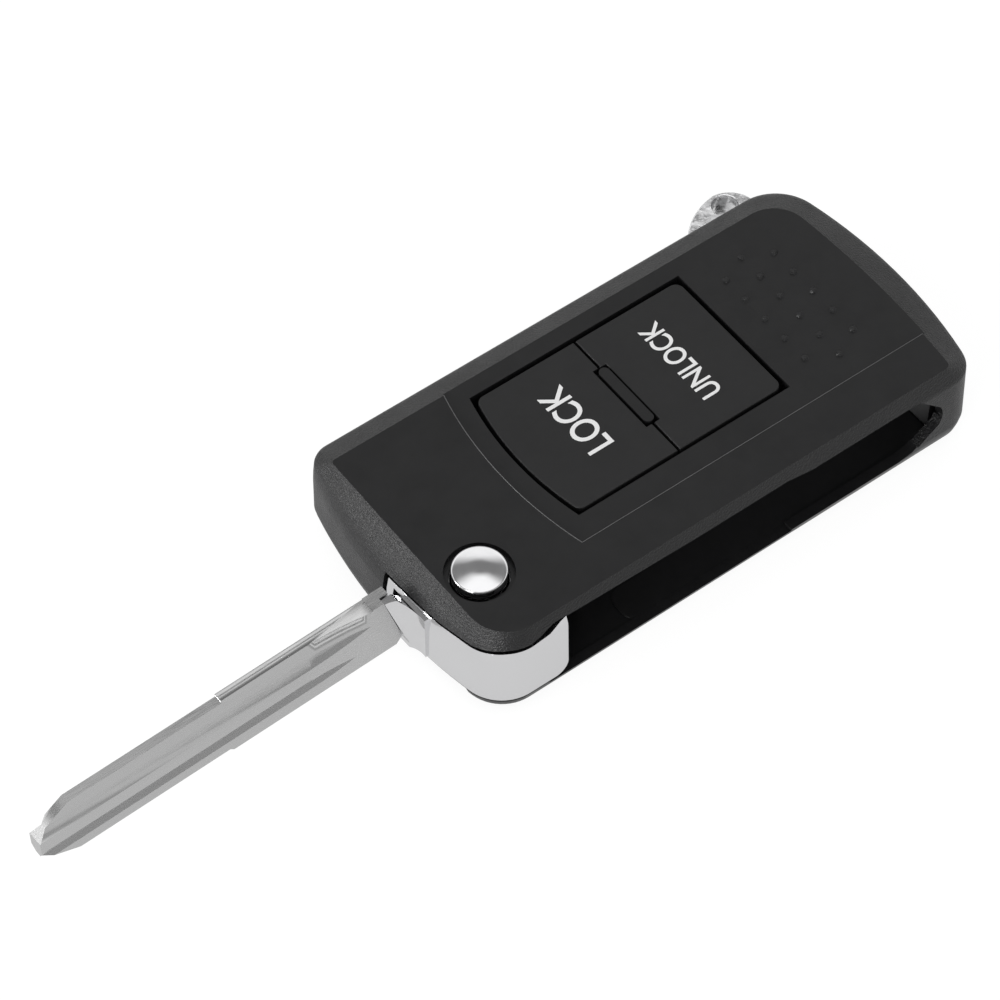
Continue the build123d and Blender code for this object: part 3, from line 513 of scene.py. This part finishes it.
def world():
    # white to the camera, and in reflections dim near the horizon, then bright, dark and bright again
    sky = bpy.data.worlds.new("studio_sky")
    bpy.context.scene.world = sky
    sky.use_nodes = True
    nodes, links = sky.node_tree.nodes, sky.node_tree.links
    shape = nodes.new("ShaderNodeNewGeometry")
    split = nodes.new("ShaderNodeSeparateXYZ")
    links.new(shape.outputs["Incoming"], split.inputs["Vector"])
    # the incoming direction points back along the ray, so its height is turned round
    rise = nodes.new("ShaderNodeMath")
    rise.operation = "MULTIPLY"
    rise.inputs[1].default_value = -1.0
    links.new(split.outputs["Z"], rise.inputs[0])
    tones = nodes.new("ShaderNodeValToRGB")
    tones.color_ramp.elements.remove(tones.color_ramp.elements[0])
    first = tones.color_ramp.elements[0]
    first.position = SKY_TONES[0][0]
    first.color = (*[SKY_TONES[0][1]] * 3, 1)
    for place, tone in SKY_TONES[1:]:
        stop = tones.color_ramp.elements.new(place)
        stop.color = (tone, tone, tone, 1)
    links.new(rise.outputs["Value"], tones.inputs["Fac"])
    dim = nodes["Background"]
    dim.inputs["Strength"].default_value = SKY_STRENGTH
    links.new(tones.outputs["Color"], dim.inputs["Color"])
    white = nodes.new("ShaderNodeBackground")
    white.inputs["Color"].default_value = (1, 1, 1, 1)
    white.inputs["Strength"].default_value = 1.0
    rays = nodes.new("ShaderNodeLightPath")
    mix = nodes.new("ShaderNodeMixShader")
    links.new(rays.outputs["Is Camera Ray"], mix.inputs["Fac"])
    links.new(dim.outputs["Background"], mix.inputs[1])
    links.new(white.outputs["Background"], mix.inputs[2])
    links.new(mix.outputs["Shader"], nodes["World Output"].inputs["Surface"])


def soft_lamp(name, place, size, power):
    deselect()
    bpy.ops.object.light_add(type="AREA", location=place)
    lamp = bpy.context.object
    lamp.name = name
    lamp.data.size = size
    lamp.data.energy = power
    lamp.rotation_euler = (Vector(LAMP_AIM) - Vector(place)).to_track_quat("-Z", "Y").to_euler()


def camera():
    data = bpy.data.cameras.new("photo_camera")
    view = bpy.data.objects.new("photo_camera", data)
    bpy.context.scene.collection.objects.link(view)
    data.sensor_width = SENSOR
    data.lens = FOCAL_PIXELS / FRAME_PIXELS * SENSOR
    data.clip_start = NEAREST_SEEN
    axes = Matrix((CAMERA_RIGHT, -CAMERA_DOWN, -CAMERA_AHEAD)).transposed().to_4x4()
    view.matrix_world = Matrix.Translation(CAMERA_PLACE) @ axes
    bpy.context.scene.camera = view


case_plastic = moulded_plastic(
    "grained_case_plastic",
    dark=(0.005, 0.005, 0.0055),
    light=(0.009, 0.009, 0.0095),
    roughness=0.38,
    shine=0.42,
    grain=0.12 * MM,
    grain_size=0.25 * MM,
    grained_sides=True,
)
# paler plastic: painted fill light on the slot walls and a painted highlight on the panel's bead
painted_light_plastic = moulded_plastic(
    "painted_light_slot_plastic",
    dark=(0.06, 0.06, 0.061),
    light=(0.085, 0.085, 0.087),
    roughness=0.35,
    shine=0.6,
    grain=0.01 * MM,
    grain_size=0.3 * MM,
)
key_plastic = moulded_plastic(
    "satin_key_plastic",
    dark=(0.009, 0.009, 0.0095),
    light=(0.013, 0.013, 0.0135),
    roughness=0.42,
    shine=0.4,
    grain=0.006 * MM,
    grain_size=0.2 * MM,
)
tray_plastic = moulded_plastic(
    "smooth_tray_plastic",
    dark=(0.005, 0.005, 0.0055),
    light=(0.009, 0.009, 0.0095),
    roughness=0.35,
    shine=0.5,
    grain=0.008 * MM,
    grain_size=0.25 * MM,
)
stem_plastic = moulded_plastic(
    "grained_stem_plastic",
    dark=(0.008, 0.008, 0.0085),
    light=(0.02, 0.02, 0.021),
    roughness=0.45,
    shine=0.5,
    grain=0.02 * MM,
    grain_size=0.2 * MM,
)
chrome = chrome_plate("satin_chrome_plate")
ear_chrome = rough_chrome("rough_cast_chrome")
steel = ground_steel("ground_nickel_steel")
dull_steel = ground_steel("drawn_spring_steel")
rubber = silicone_rubber("black_silicone")
print_white = white_print("white_key_print")

upper_case = finished_piece(
    "upper_shell", "moulded_upper_case", case_plastic, smooth_angle=CASE_SMOOTH_ANGLE, crisp=on_top_face
)
# the slot walls get the paler plastic as painted fill light
slot_walls_painted_light(upper_case, painted_light_plastic)
# a paler bead on the panel's rim: a painted highlight line
panel_highlight_bead(upper_case, "panel_painted_highlight_bead", painted_light_plastic)
finished_piece("lower_shell", "moulded_lower_tray", tray_plastic, TRAY_EDGE)
finished_piece("lock_button", "lock_key_cap", key_plastic, KEY_EDGE)
finished_piece("unlock_button", "unlock_key_cap", key_plastic, KEY_EDGE)
finished_piece("button_membrane", "key_membrane", rubber)
finished_piece("key_ring_lug", "chrome_ring_ear", ear_chrome, EAR_EDGE)
finished_piece("flip_head", "chrome_flip_head", chrome, CHROME_EDGE)
domed_cap("release_cap", "chrome_release_cap", chrome)
finished_piece("release_stem", "release_button_stem", stem_plastic)
finished_piece("key_blade", "milled_key_blade", steel)
finished_piece("blade_pin", "tang_pin", steel)
coil = finished_piece("flip_spring", "flip_coil_spring", dull_steel, smooth_angle=COIL_SMOOTH_ANGLE)
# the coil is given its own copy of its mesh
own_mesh(coil)
finished_piece("case_screw", "shell_screw", dull_steel)

for word in WORDS:
    printed_word(*word, print_white)

floor()
world()
for lamp in LAMPS:
    soft_lamp(*lamp)
camera()
bpy.context.scene.view_settings.view_transform = "Standard"
